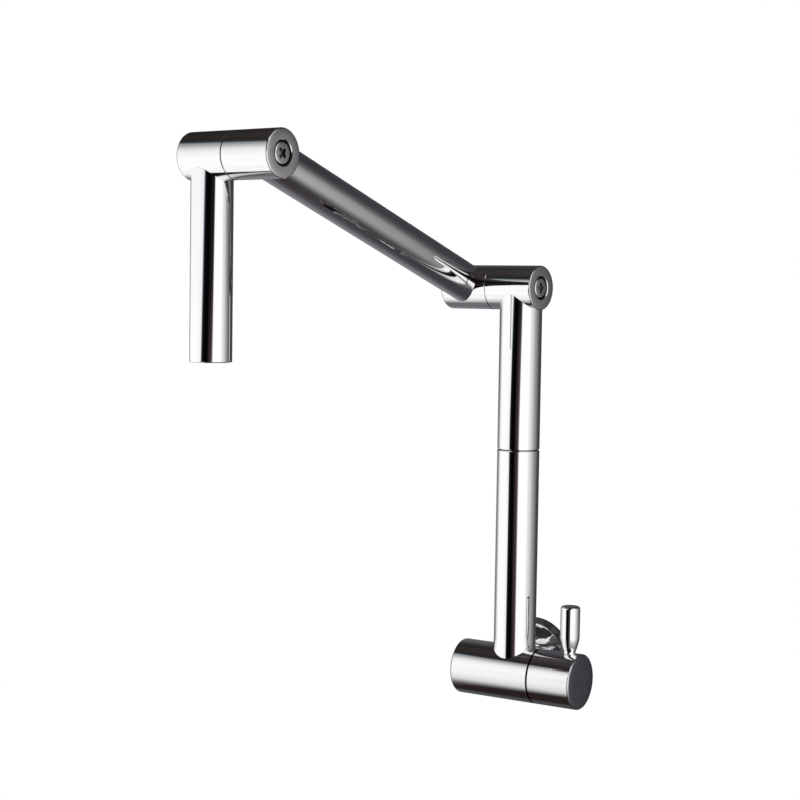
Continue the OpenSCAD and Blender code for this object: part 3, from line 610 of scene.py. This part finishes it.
def screw_outline(top, tip):
    """Outline from the head's round edge to the shank's end, as (place, radius)."""
    seat, flat = top - HEAD_HEIGHT, HEAD_RADIUS - HEAD_ROUND
    edge = top - dome_fall(flat) - HEAD_ROUND
    steps = range(ROUND_STEP_DEGREES, 91, ROUND_STEP_DEGREES)
    outline = [(edge + HEAD_ROUND * math.cos(math.radians(step)),
                flat + HEAD_ROUND * math.sin(math.radians(step))) for step in steps]
    outline += [(seat + HEAD_CHAMFER, HEAD_RADIUS), (seat, HEAD_RADIUS - HEAD_CHAMFER),
                (seat, SHANK_RADIUS)]
    root = SHANK_RADIUS - SHANK_THREAD
    for k in range(int((seat - tip - 2 * SHANK_END) / SHANK_PITCH)):
        crest = seat - SHANK_NECK - k * SHANK_PITCH
        outline += [(crest, SHANK_RADIUS), (crest - SHANK_PITCH * ROOT_START_SHARE, root),
                    (crest - SHANK_PITCH * ROOT_END_SHARE, root)]
    return outline + [(tip + SHANK_END, root), (tip, SHANK_RADIUS - SHANK_END_TAPER), (tip, 0.0)]


def make_screw(node, body, turn, material, recess):
    """Cross-headed hinge screw in place of its plain CAD node."""
    middle = hinges[node]
    up, side = Vector(Z_AXIS), Vector(Z_AXIS).cross(hinge_axis)
    reach = [(vertex.co - middle).dot(hinge_axis) / MM
             for vertex in frame["nodes"][node].data.vertices]
    top, tip = max(reach), min(reach)
    angles = ring_angles(SCREW_SPOKES)

    def point(x, radius, angle):
        away = up * math.cos(angle) + side * math.sin(angle)
        return middle + (hinge_axis * x + away * radius) * MM

    def depth(radius, angle):
        return cross_depth(radius * math.cos(angle - turn), radius * math.sin(angle - turn))

    rows = [[point(top - dome_fall(radius) - depth(radius, angle), radius, angle)
             for angle in angles] for radius in head_radii()]
    rows += [[point(x, radius, angle) for angle in angles]
             for x, radius in screw_outline(top, tip)]
    piece = make_skin(node + "_cross_head", rows, False, material)
    piece.data.materials.append(recess)
    # Faces deep in the cross recess take the darker material as painted shade
    for face in piece.data.polygons:
        offset = (face.center - middle) / MM
        radius = math.hypot(offset.dot(up), offset.dot(side))
        angle = math.atan2(offset.dot(side), offset.dot(up))
        in_head = offset.dot(hinge_axis) > top - HEAD_HEIGHT
        face.material_index = int(in_head and depth(radius, angle) > SHADE_FROM_DEPTH)
    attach(piece, body)
    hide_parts(node)


# Inlet nipple, in millimetres; its axis is +Y from the valve into the wall
NECK_RADIUS = 10.7
NECK_STEP = 0.2
BORE_RADIUS = 7.5
BORE_CHAMFER = 0.4
VALVE_RADIUS = 15.95
THREAD_START = -1.5
THREAD_END = 14.0
THREAD_CREST = 10.4775
THREAD_ROOT = 9.32
THREAD_PITCH = 1.814
THREAD_CHAMFER = 1.0

# Mesh of the nipple: spokes, rows to a turn of thread, and the shares of the plain rows
NIPPLE_SPOKES = 96
THREAD_ROWS = 14
NECK_SHARES = (0.0, 0.25, 0.5, 0.75, 0.985)
BORE_SHARES = (0.35, 0.7, 1.0)


def make_nipple(material):
    """Inlet nipple with its G1/2 thread in place of the plain CAD node."""
    angles = ring_angles(NIPPLE_SPOKES)

    def row(place, radius):
        """Ring of points; place and radius are numbers or go by the angle."""
        ring = []
        for angle in angles:
            y = place(angle) if callable(place) else place
            r = radius(angle) if callable(radius) else radius
            ring.append(Vector((r * math.sin(angle), y, r * math.cos(angle))) * MM)
        return ring

    def saddle(radius, angle):
        """Where a pipe of a radius meets the valve's skin."""
        rise = radius * math.cos(angle)
        return valve_middle[1] / MM + math.sqrt(VALVE_RADIUS ** 2 - rise ** 2)

    def between(radius, end, share):
        return lambda angle: saddle(radius, angle) * (1 - share) + end * share

    def thread(y):
        def radius(angle):
            wave = 0.5 + 0.5 * math.cos(2 * math.pi * y / THREAD_PITCH - angle)
            start = min(1.0, (y - THREAD_START) / THREAD_PITCH)
            deep = (THREAD_CREST - THREAD_ROOT) * start * (1 - wave)
            return min(THREAD_CREST - deep, THREAD_CREST - THREAD_CHAMFER + THREAD_END - y)
        return radius

    length = THREAD_END - THREAD_START
    count = int(length / THREAD_PITCH * THREAD_ROWS)
    places = [THREAD_START + length * k / count for k in range(count + 1)]
    rows = [row(between(NECK_RADIUS, THREAD_START, share), NECK_RADIUS) for share in NECK_SHARES]
    rows.append(row(THREAD_START, NECK_RADIUS - NECK_STEP))
    rows += [row(y, thread(y)) for y in places]
    rows.append(row(THREAD_END, BORE_RADIUS + BORE_CHAMFER))
    rows.append(row(THREAD_END - BORE_CHAMFER, BORE_RADIUS))
    rows += [row(between(BORE_RADIUS, THREAD_END, 1 - share), BORE_RADIUS)
             for share in BORE_SHARES]
    piece = make_skin("inlet_nipple_threaded", rows, True, material)
    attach(piece, "base")
    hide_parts("inlet_nipple")


TIP_SCREW_TURN = math.radians(45)

make_camera()
make_world()
make_dome()
make_floor()
bpy.context.scene.view_settings.view_transform = "Standard"
chromes, plains = make_chromes(), make_plains()
dress(chromes, plains)
make_screw("elbow_screw", "arm", 0.0, chromes["screw"], plains["cross_recess_shade"])
make_screw("tip_screw", "spout", TIP_SCREW_TURN, chromes["screw"], plains["cross_recess_shade"])
make_nipple(chromes["tube"])
